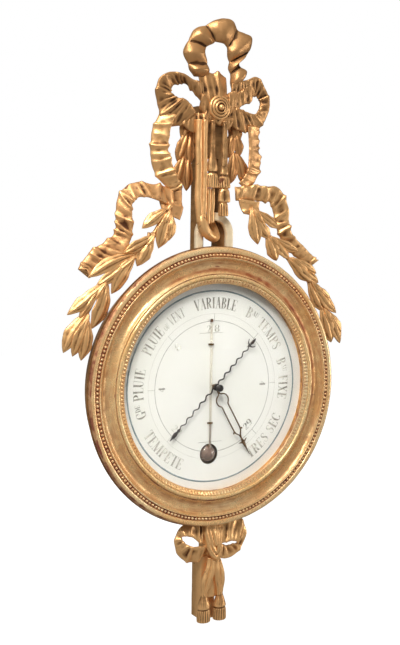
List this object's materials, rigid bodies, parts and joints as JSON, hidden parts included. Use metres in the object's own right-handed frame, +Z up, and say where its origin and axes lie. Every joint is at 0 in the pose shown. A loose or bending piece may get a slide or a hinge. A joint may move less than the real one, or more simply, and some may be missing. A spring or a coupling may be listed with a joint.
{
  "type": "wheel barometer",
  "caption": "Giltwood wall barometer with a round drum, ribbon-bow crest, laurel garlands, tasselled pendant, dial thermometer, two hands and an aneroid movement.",
  "frame": {"origin": "centre of the nail hole in the hanging plate, on the wall plane", "axes": "+Z up, +Y into the wall, so the viewer stands on the -Y side and +X is the viewer's right"},
  "size_m": [0.5186, 0.0627, 0.9795],
  "materials": {
    "gilt_moulding": "water-gilt gesso over wood, burnished",
    "gilt_carving": "worn gilding with red-brown bole showing",
    "pale_gilding": "bright burnished gilding",
    "case_wood": "dark stained wood",
    "dial_paint": "satin off-white paint with grey-blue printing",
    "glass": "clear",
    "brass": "satin",
    "blued_steel": "blued",
    "black_knob": "gloss black",
    "iron": "forged",
    "steel": "satin",
    "thermometer_glass": "smoked by the spirit behind it",
    "spirit": "tinted spirit"
  },
  "bodies": {
    "case": {"drum_case": "case_wood", "outer_moulding": "gilt_moulding", "pearl_row": "gilt_moulding", "gorge_moulding": "gilt_moulding", "sight_moulding": "gilt_moulding", "leaf_tip_row": "gilt_moulding", "glass": "glass", "spacer_ring": "gilt_moulding", "dial_plate": "dial_paint", "back_cover": "case_wood", "upright_board": "gilt_carving", "pendant_pilaster": "gilt_carving", "case_dowels": "case_wood", "hanging_plate": "iron", "top_loop": "gilt_carving", "bow_left": "gilt_carving", "bow_right": "gilt_carving", "knot": "gilt_carving", "rosette": "gilt_carving", "fall_left": "gilt_carving", "fall_right": "gilt_carving", "husks_left": "gilt_carving", "husks_right": "gilt_carving", "sash_left": "gilt_carving", "sash_right": "gilt_carving", "garland_left": "gilt_carving", "garland_right": "gilt_carving", "hanging_arch": "pale_gilding", "hanging_rope": "gilt_carving", "crest_tassels": "gilt_carving", "pendant_bow": "gilt_carving", "pendant_knot": "gilt_carving", "pendant_cords": "gilt_carving", "pendant_tassels": "gilt_carving", "thermometer_glass": "thermometer_glass", "thermometer_spirit": "spirit", "thermometer_cap": "iron", "thermometer_clips": "brass", "centre_bush": "brass", "glass_bush": "brass", "base_plate": "brass", "movement_pillars": "brass", "pillar_screws": "steel", "vacuum_capsule": "brass", "knife_edge_pin": "steel", "spring_bridge": "brass", "main_spring": "steel", "shaft_brackets": "brass", "chain": "steel", "arbor_plate": "brass", "hairspring": "steel", "wood_screws": "iron"},
    "hand": {"indicating_hand": "blued_steel", "hand_collet": "blued_steel", "hand_arbor": "steel"},
    "set_hand": {"set_hand": "brass", "set_knob": "black_knob"},
    "rocking_shaft": {"rocking_shaft": "steel"},
    "main_lever": {"main_lever": "brass"},
    "adjusting_screw": {"adjusting_screw": "steel"}
  },
  "joints": [
    {"name": "hand_turn", "type": "hinge", "parent": "case", "child": "hand", "pos_m": [0, -0.036, -0.4], "axis": [0, 1, 0], "range_deg": [0, 270], "deforming": ["hairspring", "chain", "vacuum_capsule", "main_spring"]},
    {"name": "rocking_shaft_turn", "type": "hinge", "parent": "case", "child": "rocking_shaft", "pos_m": [-0.042, -0.0145, -0.4], "axis": [0, 0, 1], "range_deg": [0, 27.01], "deforming": ["chain"]},
    {"name": "main_lever_rock", "type": "hinge", "parent": "case", "child": "main_lever", "pos_m": [0.041, -0.0197, -0.4], "axis": [0, 0, -1], "range_deg": [0, 2.1], "deforming": ["main_spring"]},
    {"name": "set_hand_turn", "type": "hinge", "parent": "case", "child": "set_hand", "pos_m": [0, -0.047, -0.4], "axis": [0, 1, 0], "continuous": true},
    {"name": "adjusting_screw_turn", "type": "hinge", "parent": "case", "child": "adjusting_screw", "pos_m": [0.036, -0.009, -0.4], "axis": [0, 1, 0], "continuous": true}
  ],
  "couplings": [
    {"joint": "rocking_shaft_turn", "follows": "hand_turn", "ratio": 0.1},
    {"joint": "main_lever_rock", "follows": "hand_turn", "ratio": 0.0077}
  ]
}
